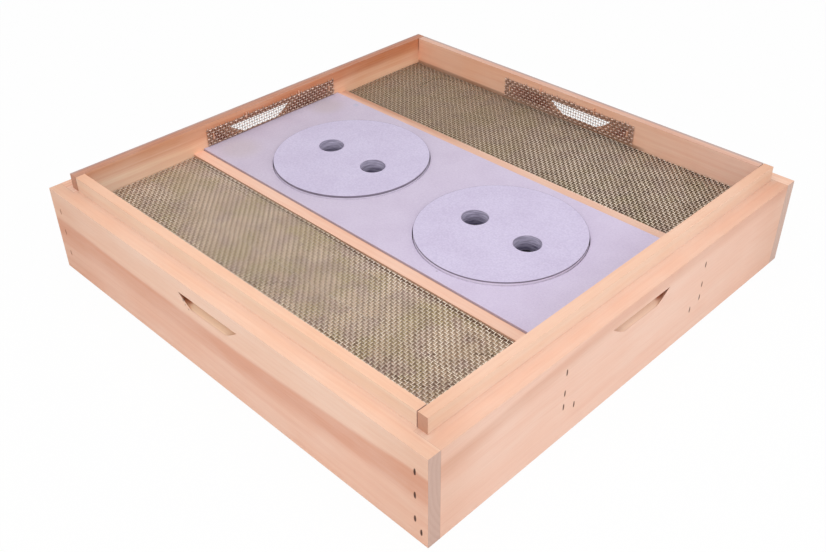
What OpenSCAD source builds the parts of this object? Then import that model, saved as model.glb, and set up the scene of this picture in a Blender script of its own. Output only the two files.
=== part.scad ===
// Square hive top feeder. A rabbeted pine box with a lip that telescopes into the next box holds a
// fibreboard feed panel with two lift-out plugs between two dividers, a screened bay of insulating fill
// on either side, and a sloping screened vent in each wall.
// Millimetres. +Z is up, the origin is the centre of the bottom rim, and the front wall faces -Y.

/* [Box] */
// Outer length of each side of the square box
box_side = 495; // [450:1:560]
// Thickness of the wall boards
wall_t = 25.5; // [22:0.5:30]
// Height from the bottom rim to the ledge outside the lip
ledge_h = 88.7; // [82:0.1:110]
// Height of the lip above the ledge
lip_h = 15.3; // [12:0.1:18]
// Thickness of the lip
lip_t = 9.4; // [8:0.1:11]
// Thickness left at the end rabbets of the left and right walls
tongue_t = 12; // [9:0.5:14]
// Open joint between the end of a side lip and the lip that it meets
lip_end_gap = 0.8; // [0.2:0.1:2]
// Side clearance in the bottom socket around the lip of the box below
socket_gap = 0.5; // [0.3:0.1:1.5]
// Headroom in the bottom socket above the lip of the box below
socket_headroom = 2.2; // [2:0.1:5]

/* [Vents] */
// Radius of the round plunge cut that makes a vent
vent_r = 100; // [90:1:115]
// Height of the vent slot, square to its slope
vent_kerf = 9.6; // [6:0.1:10]
// Slope of the vent slot in degrees, down towards the outside
vent_slope = 31; // [28:0.1:36]
// Width of the outer opening at its mid height
vent_outer_w = 64; // [50:1:80]
// Depth of the outer opening's mid height below the ledge
vent_drop = 18.7; // [17:0.1:23]

/* [Dividers and panel] */
// Depth of the tray from the top of the lip to the panel
tray_depth = 25.2; // [24:0.1:32]
// Thickness of the dividers
divider_t = 12; // [10:0.1:20]
// Width of the feed panel
panel_w = 182.4; // [174:0.1:190]
// Thickness of the feed panel
panel_t = 12.7; // [9:0.1:16]
// Clearance around the feed panel
panel_gap = 0.3; // [0.2:0.1:0.8]
// How far the feed panel stands above the dividers' top edges
panel_proud = 1.8; // [0.5:0.1:4]

/* [Plugs] */
// Width of panel left beside a plug's opening
plug_margin = 12.4; // [8:0.1:20]
// Width of panel left between the plugs' openings
plug_web = 38; // [25:0.1:50]
// Thickness of the plugs
plug_t = 15.5; // [11:0.1:20]
// Clearance all round between a plug and its opening in the panel
plug_gap = 0.8; // [0.4:0.1:1.5]
// How far the ledgers reach under a plug's rim
plug_seat = 2.5; // [1.5:0.1:6]
// Clearance under a plug, above the ledgers
plug_seat_gap = 0.3; // [0.2:0.1:0.5]
// Diameter of the finger holes
hole_d = 25.4; // [18:0.1:32]
// Distance between the two finger holes of a plug
hole_spacing = 61; // [40:0.5:72]

/* [Screens and fill] */
// Thickness of the wire cloth
screen_t = 0.9; // [0.6:0.1:1.4]
// Clearance at the edges of the wire cloth
screen_gap = 0.4; // [0.3:0.1:0.9]
// Width of the bars that stand for the wires of the cloth
bar_w = 1.2; // [0.8:0.1:2]
// Depth of the top screens below the dividers' top edges
screen_drop = 2.1; // [1:0.1:6]
// Height of the turned-down edges of the top screens
flange_h = 12; // [10:0.5:18]
// Width of the vent screens
vent_screen_w = 172; // [165:1:190]
// Distance from the top of the lip down to the vent screens' top edge
vent_screen_margin = 6.4; // [5:0.1:8]
// Count of gaps across a top screen
top_count_across = 5; // [2:1:8]
// Count of gaps along a top screen
top_count_along = 18; // [10:1:30]
// Count of gaps along a vent screen
vent_count_along = 12; // [8:1:20]
// Count of gaps across a floor screen
floor_count_across = 5; // [2:1:8]
// Count of gaps along a floor screen
floor_count_along = 9; // [7:1:20]
// Clearance around the fill in its bay
fill_gap = 0.4; // [0.3:0.1:3]
// Rounding of the fill's edges
fill_round = 6; // [3:0.5:12]

/* [Staples] */
// Width of a staple's crown
crown_w = 6.3; // [5:0.1:8]
// Width of the staple wire
wire_w = 1.2; // [0.9:0.1:1.5]
// Thickness of the staple wire
wire_t = 0.9; // [0.6:0.1:1.1]
// Depth of the wall staples' crowns below the wood
crown_sink = 0.3; // [0.1:0.1:0.8]
// Clearance of a staple in the wood
staple_gap = 0.05; // [0.03:0.01:0.2]
// Length of the corner staples' legs
corner_leg = 30; // [22:1:38]
// How far the divider staples reach into the dividers and ledgers
divider_bite = 12; // [8:1:20]
// Length of the screen staples' legs
screen_leg = 6.5; // [4:0.5:7]
// Depth of the first corner staple below the ledge
corner_first = 20.7; // [17:0.1:24]
// Depth of the second corner staple below the ledge
corner_second = 43.7; // [36:0.1:50]
// Depth of the third corner staple below the ledge
corner_third = 67.7; // [60:0.1:70]
// Depth below the ledge of the first staple into a divider's end
divider_first = 20; // [17:0.1:24]
// Depth below the ledge of the second staple into a divider's end
divider_second = 41.2; // [34:0.1:46]
// Depth below the ledge of the third staple into a divider's end
divider_third = 55.4; // [53:0.1:58]
// Height of the staple into a ledger's end above the ledger's bottom edge
ledger_rise = 9.5; // [6:0.1:30]
// Distance from the corner to the low extra staple
low_staple_in = 6.7; // [5:0.1:9]
// Height of the low extra staple above the bottom rim
low_staple_z = 11; // [6:0.1:13]
// Staples along each edge of a top or floor screen
edge_staples = 5; // [2:1:6]

/* [Hidden] */
$fn = 96;
eps = 0.5;
half = box_side / 2;
box_h = ledge_h + lip_h;
ledge_w = wall_t - lip_t;
inner = half - wall_t;
lip_out = half - ledge_w;
socket_half = lip_out + socket_gap;
socket_h = lip_h + socket_headroom;

vent_z = ledge_h - vent_drop;
vent_reach = sqrt(vent_r * vent_r - vent_outer_w * vent_outer_w / 4);

panel_top = box_h - tray_depth;
panel_bottom = panel_top - panel_t;
divider_in = panel_w / 2 + panel_gap;
divider_out = divider_in + divider_t;
divider_mid = (divider_in + divider_out) / 2;
divider_top = panel_top - panel_proud;
opening_d = panel_w - 2 * plug_margin;
plug_d = opening_d - 2 * plug_gap;
plug_y = (opening_d + plug_web) / 2;
ledger_in = plug_d / 2 - plug_seat;
ledger_t = divider_in - ledger_in;
ledger_mid = (ledger_in + divider_in) / 2;
plug_bottom = panel_bottom + plug_seat_gap;

top_count = [top_count_across, top_count_along];
vent_count = [vent_count_along, 2];
floor_count = [floor_count_across, floor_count_along];
screen_top = divider_top - screen_drop;
bay_w = inner - divider_out;
bay_mid = (inner + divider_out) / 2;
top_w = bay_w - 2 * screen_gap;
top_l = 2 * (inner - screen_gap);
floor_w = socket_half - divider_in - screen_gap;
floor_l = 2 * (socket_half - screen_gap);
shoulder_mid = (inner + socket_half) / 2;
vent_screen_top = box_h - vent_screen_margin;

left = 0;
front = 90;
right = 180;
back = 270;

// Colours as the photograph shows them
pine = [0.94, 0.78, 0.66];
end_pine = [0.90, 0.72, 0.60];
fibre = [0.78, 0.75, 0.83];
wire = [0.62, 0.60, 0.56];
straw = [0.60, 0.53, 0.38];
steel = [0.35, 0.32, 0.30];

// Start of row i when a length is shared by n gaps between bars
function bar_start(length, n, i) = i * (length - bar_w) / n;
// Middle of bar i, from the middle of the length
function bar_mid(length, n, i) = bar_start(length, n, i) + bar_w / 2 - length / 2;
// Middle of gap i, from the middle of the length
function gap_mid(length, n, i) = (bar_mid(length, n, i) + bar_mid(length, n, i + 1)) / 2;
// Gap for step k of n even steps along a screen
function step_gap(gaps, n, k) = floor((k + 0.5) * gaps / n);
// Bar for step k of n even steps along a screen, clear of its two ends
function step_bar(gaps, n, k) = round((k + 0.5) * gaps / n);

// Turns a wall's own frame, x inwards from its outer face, to the wall's place
module on_wall(turn) {
    rotate([0, 0, turn]) translate([-half, 0, 0]) children();
}

// A staple with an upright crown and legs along +X into wood whose face is at x = 0
module staple(leg_l, crown_x, gap = 0) {
    reach = gap > 0 ? eps : 0;
    translate([crown_x - wire_t - reach, -wire_w / 2 - gap, -crown_w / 2 - gap])
        cube([wire_t + reach + gap, wire_w + 2 * gap, crown_w + 2 * gap]);
    for (end = [-1, 1])
        translate([crown_x - wire_t, 0, end * (crown_w - wire_t) / 2])
            translate([0, -wire_w / 2 - gap, -wire_t / 2 - gap])
                cube([leg_l - crown_x + wire_t + gap, wire_w + 2 * gap, wire_t + 2 * gap]);
}

// A flat net of bars, centred, with n = [gaps along x, gaps along y]
module net(size, n) {
    gap = [(size.x - bar_w) / n.x - bar_w, (size.y - bar_w) / n.y - bar_w];
    linear_extrude(screen_t) difference() {
        square(size, center = true);
        for (i = [0 : n.x - 1], j = [0 : n.y - 1])
            translate([gap_mid(size.x, n.x, i), gap_mid(size.y, n.y, j)]) square(gap, center = true);
    }
}

// The sloping round plunge cut of a vent, in a wall's own frame
module vent_cut() {
    translate([vent_reach * cos(vent_slope), 0, vent_z + vent_reach * sin(vent_slope)])
        rotate([0, -vent_slope, 0]) cylinder(r = vent_r, h = vent_kerf, center = true);
}

// The socket under all four walls for the lip of the box below
module socket_cut() {
    translate([-socket_half, -socket_half, -eps])
        cube([2 * socket_half, 2 * socket_half, socket_h + eps]);
}

// Space above the ledge, outside the lips
module ledge_cut() {
    difference() {
        translate([-half - eps, -half - eps, ledge_h])
            cube([box_side + 2 * eps, box_side + 2 * eps, lip_h + eps]);
        translate([-lip_out, -lip_out, ledge_h - eps])
            cube([2 * lip_out, 2 * lip_out, lip_h + 3 * eps]);
    }
}

// A through board of the box, with its end rabbets and the lip cut back at both ends
module side_board() {
    difference() {
        translate([0, -half, 0]) cube([wall_t, box_side, box_h]);
        for (end = [0, 1]) mirror([0, end, 0]) {
            translate([tongue_t, inner, -eps]) cube([wall_t, wall_t + eps, box_h + 2 * eps]);
            translate([-eps, inner - lip_end_gap, ledge_h])
                cube([wall_t + 2 * eps, wall_t + lip_end_gap + eps, lip_h + eps]);
        }
        vent_cut();
    }
}

// A board between the tongues of the through boards
module end_board() {
    length = box_side - 2 * tongue_t;
    difference() {
        translate([0, -length / 2, 0]) cube([wall_t, length, box_h]);
        vent_cut();
    }
}

module wall(turn) {
    color(pine) difference() {
        on_wall(turn) {
            if (turn == left || turn == right) side_board();
            else end_board();
        }
        ledge_cut();
        socket_cut();
        staple_pockets();
    }
}

// Staples through a side wall's tongues into the ends of the walls between them
module corner_staples(turn, gap = 0) {
    sunk = crown_sink + wire_t;
    on_wall(turn) {
        for (end = [-1, 1], row = [corner_first, corner_second, corner_third])
            translate([0, end * (half - wall_t / 2), ledge_h - row]) staple(corner_leg, sunk, gap);
        translate([0, low_staple_in - half, low_staple_z]) staple(corner_leg, sunk, gap);
    }
}

// Staples through a front or back wall into the ends of the dividers and ledgers
module divider_staples(turn, gap = 0) {
    sunk = crown_sink + wire_t;
    leg = wall_t + divider_bite;
    on_wall(turn) for (end = [-1, 1]) {
        for (row = [divider_first, divider_second, divider_third])
            translate([0, end * divider_mid, ledge_h - row]) staple(leg, sunk, gap);
        translate([0, end * ledger_mid, socket_h + ledger_rise]) staple(leg, sunk, gap);
    }
}

// Bottom edge of a vent screen: on the panel at the front and back, on a top screen at the sides
function vent_screen_bottom(turn) = screen_gap + (turn == left || turn == right ? screen_top : panel_top);

// Staples over a vent screen's middle bar at both ends, and over its top bar
module vent_staples(turn, gap = 0) {
    bottom = vent_screen_bottom(turn);
    height = vent_screen_top - bottom;
    last = vent_count.x - 1;
    quarter = round(vent_count.x / 4);
    top_bar = bar_mid(height, vent_count.y, vent_count.y);
    places = [[0, 0], [last, 0], [quarter, top_bar], [last - quarter, top_bar]];
    on_wall(turn) translate([wall_t, 0, bottom + height / 2]) rotate([0, 0, 180])
        for (at = places)
            translate([0, gap_mid(vent_screen_w, vent_count.x, at.x), at.y])
                staple(screen_leg, -screen_t, gap);
}

// Staples over the lower bars of a top screen's turned-down edges, into the wall and the divider
module top_staples(turn, gap = 0) {
    z = screen_top - flange_h + bar_w / 2;
    rotate([0, 0, turn]) for (k = [0 : edge_staples - 1]) {
        y = gap_mid(top_l, top_count.y, step_gap(top_count.y, edge_staples, k));
        translate([-inner + screen_gap, y, z]) rotate([0, 0, 180])
            staple(screen_leg, -screen_t, gap);
        translate([-divider_out - screen_gap, y, z]) staple(screen_leg, -screen_t, gap);
    }
}

// Staples over the cross bars of a floor screen, up into the wall's shoulder and the divider
module floor_staples(turn, gap = 0) {
    rotate([0, 0, turn]) for (k = [0 : edge_staples - 1], x = [-shoulder_mid, -divider_mid]) {
        y = bar_mid(floor_l, floor_count.y, step_bar(floor_count.y, edge_staples, k));
        translate([x, y, socket_h]) rotate([0, -90, 0]) rotate([90, 0, 0])
            staple(screen_leg, -screen_t, gap);
    }
}

module all_vent_staples() {
    color(steel) for (turn = [left, front, right, back]) vent_staples(turn);
}

module all_top_staples() {
    color(steel) for (turn = [left, right]) top_staples(turn);
}

module all_floor_staples() {
    color(steel) for (turn = [left, right]) floor_staples(turn);
}

// Every staple's hole in the wood
module staple_pockets() {
    for (turn = [left, right]) {
        corner_staples(turn, staple_gap);
        top_staples(turn, staple_gap);
        floor_staples(turn, staple_gap);
    }
    for (turn = [front, back]) divider_staples(turn, staple_gap);
    for (turn = [left, front, right, back]) vent_staples(turn, staple_gap);
}

module divider(turn) {
    color(pine) difference() {
        rotate([0, 0, turn]) translate([-divider_out, -inner, socket_h])
            cube([divider_t, 2 * inner, divider_top - socket_h]);
        staple_pockets();
    }
}

module ledger(turn) {
    color(end_pine) difference() {
        rotate([0, 0, turn]) translate([-divider_in, -inner, socket_h])
            cube([ledger_t, 2 * inner, panel_bottom - socket_h]);
        staple_pockets();
    }
}

module feed_panel() {
    color(fibre) difference() {
        translate([-panel_w / 2, -inner + panel_gap, panel_bottom])
            cube([panel_w, 2 * (inner - panel_gap), panel_t]);
        for (end = [-1, 1])
            translate([0, end * plug_y, panel_bottom - eps])
                cylinder(d = opening_d, h = panel_t + 2 * eps);
    }
}

module plug(end) {
    color(fibre) translate([0, end * plug_y, plug_bottom]) difference() {
        cylinder(d = plug_d, h = plug_t);
        for (side = [-1, 1])
            translate([0, side * hole_spacing / 2, -eps]) cylinder(d = hole_d, h = plug_t + 2 * eps);
    }
}

// Cloth over a side bay, with its long edges turned down along the wall and the divider
module top_screen(turn) {
    color(wire) rotate([0, 0, turn]) translate([-bay_mid, 0, 0]) {
        translate([0, 0, screen_top - screen_t]) net([top_w, top_l], top_count);
        for (side = [0, 180]) rotate([0, 0, side])
            translate([-top_w / 2, 0, screen_top - flange_h / 2]) rotate([0, 90, 0])
                net([flange_h, top_l], [1, top_count.y]);
    }
}

module floor_screen(turn) {
    color(wire) rotate([0, 0, turn])
        translate([-divider_in - floor_w / 2, 0, socket_h - screen_t])
            net([floor_w, floor_l], floor_count);
}

module vent_screen(turn) {
    bottom = vent_screen_bottom(turn);
    height = vent_screen_top - bottom;
    color(wire) on_wall(turn) translate([wall_t, 0, bottom + height / 2])
        rotate([90, 0, 90]) net([vent_screen_w, height], vent_count);
}

// Insulating fill, packed to the shape of its bay inside the top screen's turned-down edges
module fill(turn) {
    low = socket_h + fill_gap;
    side_gap = screen_gap + screen_t + wire_t + fill_gap;
    size = [bay_w - 2 * side_gap, 2 * (inner - fill_gap), screen_top - screen_t - fill_gap - low];
    color(straw) rotate([0, 0, turn]) translate([-bay_mid, 0, low + size.z / 2]) hull() {
        cube([size.x, size.y, size.z - 2 * fill_round], center = true);
        cube([size.x - 2 * fill_round, size.y - 2 * fill_round, size.z], center = true);
    }
}

wall(left);  // left_wall
wall(right);  // right_wall
wall(front);  // front_wall
wall(back);  // back_wall
divider(left);  // left_divider
divider(right);  // right_divider
ledger(left);  // left_ledger
ledger(right);  // right_ledger
feed_panel();
plug(-1);  // front_plug
plug(1);  // back_plug
top_screen(left);  // left_top_screen
top_screen(right);  // right_top_screen
floor_screen(left);  // left_floor_screen
floor_screen(right);  // right_floor_screen
fill(left);  // left_fill
fill(right);  // right_fill
vent_screen(left);  // left_vent_screen
vent_screen(right);  // right_vent_screen
vent_screen(front);  // front_vent_screen
vent_screen(back);  // back_vent_screen
color(steel) corner_staples(left);  // left_corner_staples
color(steel) corner_staples(right);  // right_corner_staples
color(steel) divider_staples(front);  // front_divider_staples
color(steel) divider_staples(back);  // back_divider_staples
all_vent_staples();  // vent_screen_staples
all_top_staples();  // top_screen_staples
all_floor_staples();  // floor_screen_staples
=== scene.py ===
"""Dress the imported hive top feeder: pine walls, fibreboard deck, woven wire and loose straw.

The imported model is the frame. Walls, dividers, ledgers, panel, plugs and staples keep their CAD
shape and get procedural finishes. The screens become woven wire, and the fill becomes straw.
"""

import logging
import math
import random
from abc import ABC, abstractmethod
from collections.abc import Callable
from dataclasses import dataclass, field, replace
from enum import Enum
from typing import NamedTuple

import bmesh
import bpy
from mathutils import Matrix, Vector, noise


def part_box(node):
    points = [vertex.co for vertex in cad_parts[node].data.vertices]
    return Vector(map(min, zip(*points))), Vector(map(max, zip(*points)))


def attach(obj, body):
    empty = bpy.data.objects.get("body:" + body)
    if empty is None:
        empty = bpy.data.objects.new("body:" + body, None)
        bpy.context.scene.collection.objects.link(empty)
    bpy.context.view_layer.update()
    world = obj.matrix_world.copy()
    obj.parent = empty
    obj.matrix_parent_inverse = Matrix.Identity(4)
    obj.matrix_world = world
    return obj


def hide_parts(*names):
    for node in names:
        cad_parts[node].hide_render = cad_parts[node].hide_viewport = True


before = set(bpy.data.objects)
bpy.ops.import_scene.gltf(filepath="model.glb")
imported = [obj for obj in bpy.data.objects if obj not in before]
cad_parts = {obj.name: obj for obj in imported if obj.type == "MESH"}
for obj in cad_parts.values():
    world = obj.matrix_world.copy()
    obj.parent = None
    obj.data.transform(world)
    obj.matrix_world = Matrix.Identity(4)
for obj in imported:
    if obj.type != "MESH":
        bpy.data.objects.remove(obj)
log = logging.getLogger("feeder")

MM = 0.001
Colour = tuple[float, float, float, float]
Pair = tuple[float, float]
Triple = tuple[float, float, float]


def tint(red: int, green: int, blue: int) -> Colour:
    """Turn a colour as it is seen, 0 to 255, into the linear colour that a shader takes.

    Args:
        red: red as seen.
        green: green as seen.
        blue: blue as seen.

    Returns:
        The linear colour, with full alpha.
    """
    def linear(part: int) -> float:
        """One channel, made linear."""
        level = part / 255
        return level / 12.92 if level <= 0.04045 else ((level + 0.055) / 1.055) ** 2.4

    return (linear(red), linear(green), linear(blue), 1.0)


def operation(name: str, reflected: bool = False) -> Callable[["Term", "Term | float"], "Term"]:
    """Make the method of an operator, which adds a Math node.

    Args:
        name: the node's operation.
        reflected: whether the other value stands on the left.

    Returns:
        The method.
    """
    def method(term: "Term", other: "Term | float") -> "Term":
        """The operation on two values."""
        values = (other, term) if reflected else (term, other)
        return term.paint.maths(name, *values)

    return method


class Term:
    """One socket of a finish's node tree, which takes part in sums."""

    __add__, __radd__ = operation("ADD"), operation("ADD", reflected=True)
    __sub__, __rsub__ = operation("SUBTRACT"), operation("SUBTRACT", reflected=True)
    __mul__, __rmul__ = operation("MULTIPLY"), operation("MULTIPLY", reflected=True)
    __truediv__, __rtruediv__ = operation("DIVIDE"), operation("DIVIDE", reflected=True)

    def __init__(self, paint: "Paint", socket: bpy.types.NodeSocket) -> None:
        """Keep the tree and the socket."""
        self.paint = paint
        self.socket = socket

    def __abs__(self) -> "Term":
        """Size without its sign."""
        return self.paint.maths("ABSOLUTE", self)

    def out(self, name: str) -> "Term":
        """Another output of the same node."""
        return Term(self.paint, self.socket.node.outputs[name])

    def rise(self, low: float, high: float) -> "Term":
        """A smooth step from 0 at low to 1 at high."""
        return self.paint.node("ShaderNodeMapRange", {"interpolation_type": "SMOOTHSTEP"},
                               {"Value": self, "From Min": low, "From Max": high})

    def fall(self, low: float, high: float) -> "Term":
        """A smooth step from 1 at low to 0 at high."""
        return 1 - self.rise(low, high)

    def rise_mm(self, low: float, high: float) -> "Term":
        """A smooth step from 0 to 1 between two places in mm."""
        return self.rise(low * MM, high * MM)

    def fall_mm(self, low: float, high: float) -> "Term":
        """A smooth step from 1 to 0 between two places in mm."""
        return self.fall(low * MM, high * MM)


class Paint:
    """The node tree of one material or of the world."""

    def __init__(self, tree: bpy.types.NodeTree) -> None:
        """Start from an empty tree."""
        self.tree = tree
        self.tree.nodes.clear()

    @classmethod
    def of(cls, material: bpy.types.Material) -> "Paint":
        """The emptied tree of a material."""
        material.use_nodes = True
        return cls(material.node_tree)

    def node(self, kind: str, settings: dict | None = None, inputs: dict | None = None,
             output: int | str = 0) -> Term | None:
        """Add one node.

        Args:
            kind: the node's type.
            settings: its settings, which are set first; "stops" gives a ramp's colours.
            inputs: a value or a term for each of its sockets.
            output: the output that is wanted.

        Returns:
            The output as a term, or None where the node has no output.
        """
        made = self.tree.nodes.new(kind)
        for key, value in (settings or {}).items():
            if key == "stops":
                stops = made.color_ramp.elements
                while len(stops) < len(value):
                    stops.new(1.0)
                for stop, (where, colour) in zip(stops, value):
                    stop.position, stop.color = where, colour
            else:
                setattr(made, key, value)
        for key, value in (inputs or {}).items():
            if isinstance(value, Term):
                self.tree.links.new(value.socket, made.inputs[key])
            else:
                made.inputs[key].default_value = value
        return Term(self, made.outputs[output]) if made.outputs else None

    def maths(self, name: str, *values: "Term | float") -> Term:
        """A Math node on values."""
        return self.node("ShaderNodeMath", {"operation": name}, dict(enumerate(values)))

    def larger(self, first: Term, second: Term) -> Term:
        """The larger of two values."""
        return self.maths("MAXIMUM", first, second)

    def far_from(self, first: Term, second: Term) -> Term:
        """How far a point is from an axis, from its two distances."""
        return self.maths("SQRT", first * first + second * second)

    def place(self) -> Term:
        """The point on the piece, in metres, as a vector."""
        return self.node("ShaderNodeTexCoord", output="Object")

    def axes(self, vector: Term) -> tuple[Term, Term, Term]:
        """The three parts of a vector."""
        x = self.node("ShaderNodeSeparateXYZ", inputs={"Vector": vector}, output="X")
        return x, x.out("Y"), x.out("Z")

    def carried(self, name: str) -> Term:
        """A value that the mesh carries at its points."""
        return self.node("ShaderNodeAttribute", {"attribute_type": "GEOMETRY", "attribute_name": name},
                         output="Fac")

    def stretched(self, vector: Term, scale: Triple, shift: Triple = (0.0, 0.0, 0.0)) -> Term:
        """A vector scaled along each axis and shifted."""
        return self.node("ShaderNodeMapping", {"vector_type": "POINT"},
                         {"Vector": vector, "Scale": scale, "Location": shift})

    def cloud(self, vector: Term, scale: float = 1.0, detail: float = 2.0, rough: float = 0.5) -> Term:
        """Soft noise about one half."""
        return self.node("ShaderNodeTexNoise", {"noise_dimensions": "3D"},
                         {"Vector": vector, "Scale": scale, "Detail": detail, "Roughness": rough})

    def mix(self, share: "Term | float", first: "Term | Colour", second: "Term | Colour",
            way: str = "MIX") -> Term:
        """A colour between two colours.

        Args:
            share: how much of the second colour.
            first: the colour below.
            second: the colour above.
            way: how the second goes on the first.

        Returns:
            The mixed colour.
        """
        settings = {"data_type": "RGBA", "blend_type": way, "clamp_factor": True}
        return self.node("ShaderNodeMix", settings, {0: share, 6: first, 7: second}, output=2)

    def bump(self, height: Term, strength: float, distance: float) -> Term:
        """A normal that is bent by a height."""
        return self.node("ShaderNodeBump",
                         inputs={"Height": height, "Strength": strength, "Distance": distance})

    def surface(self, **sockets: "Term | float | Colour") -> None:
        """Close a material's tree with a surface shader; a socket's name has _ for a space."""
        shader = self.node("ShaderNodeBsdfPrincipled",
                           inputs={key.replace("_", " "): value for key, value in sockets.items()})
        self.node("ShaderNodeOutputMaterial", inputs={"Surface": shader})

    def marked(self, vector: Term, colour: "Term | Colour", marks: "tuple[Mark, ...]") -> "Term | Colour":
        """Put marks on a colour.

        Args:
            vector: the point on the piece.
            colour: the colour below.
            marks: the marks, the first one lowest.

        Returns:
            The colour with its marks.
        """
        for mark in marks:
            flat = (1.0, 1.0, 1 / mark.tall)
            squeezed = self.node("ShaderNodeVectorMath", {"operation": "MULTIPLY"}, {0: vector, 1: flat})
            middle = tuple(value * MM * part for value, part in zip(mark.centre, flat))
            reach = self.node("ShaderNodeVectorMath", {"operation": "DISTANCE"}, {0: squeezed, 1: middle},
                              output="Value")
            inside = reach.fall_mm(mark.radius * (1 - mark.soft), mark.radius)
            colour = self.mix(inside * mark.strength, colour, mark.colour)
        return colour


@dataclass(frozen=True)
class Mark:
    """A stain, dent or splinter. Its middle and radius are in mm, and tall is its height to its width."""

    centre: Triple
    radius: float
    colour: Colour
    strength: float
    soft: float = 0.7
    tall: float = 1.0


@dataclass(frozen=True)
class Finish(ABC):
    """A finish, which fills the node tree of a material that has its name."""

    name: str

    @abstractmethod
    def fill(self, paint: Paint, spot: Term) -> None:
        """Fill the material's tree.

        Args:
            paint: the tree.
            spot: the point on the piece.
        """

    def material(self) -> bpy.types.Material:
        """Make the finish's material.

        Returns:
            The material.
        """
        made = bpy.data.materials.new(self.name)
        paint = Paint.of(made)
        self.fill(paint, paint.place())
        return made


class Run(Enum):
    """Which way a board's grain runs."""

    ALONG_X = "x"
    ALONG_Y = "y"


class BoardPoint(NamedTuple):
    """Where a point lies on a board, in metres, and the grain there."""

    along: Term
    depth: Term
    z: Term
    wander: Term
    late: Term
    broad: Term
    narrow: Term
    fibre: Term
    mottle: Term


@dataclass(frozen=True)
class PineTones:
    """The tones that all pine boards share."""

    late_wood: Colour = tint(222, 166, 136)
    broad_streak: Colour = tint(236, 200, 178)
    narrow_streak: Colour = tint(238, 206, 184)
    mottle: Colour = tint(255, 236, 220)
    far_half: Colour = tint(247, 241, 237)
    near_end: Colour = tint(240, 230, 222)
    end_ring: Colour = tint(176, 134, 116)
    fibre: Colour = tint(214, 184, 164)
    # Painted light and shade in the vent's saw cut: a pale mouth, and a dark throat where shade falls.
    slot_mouth: Colour = tint(255, 212, 178)
    throat: Colour = tint(200, 126, 92)
    deep_throat: Colour = tint(192, 128, 104)
    # Painted glow on a lip's outer face, just above the ledge.
    lip_root: Colour = tint(244, 220, 204)
    # Painted shadow of the cloth on a divider's top, with some wear.
    verge: Colour = tint(200, 150, 124)
    rim: Colour = tint(176, 164, 166)
    # Painted shadow that a vent screen casts on the inner face.
    behind_screen: Colour = tint(122, 76, 54)
    # Painted shade along the foot of an inner face, just above the cloth.
    foot: Colour = tint(120, 88, 68)
    # Painted shade line where a divider meets the panel.
    seam: Colour = tint(132, 92, 76)


PINE = PineTones()

# Height in mm that the white of a ramp stands for
RAMP_WHITE = 100.0


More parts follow.
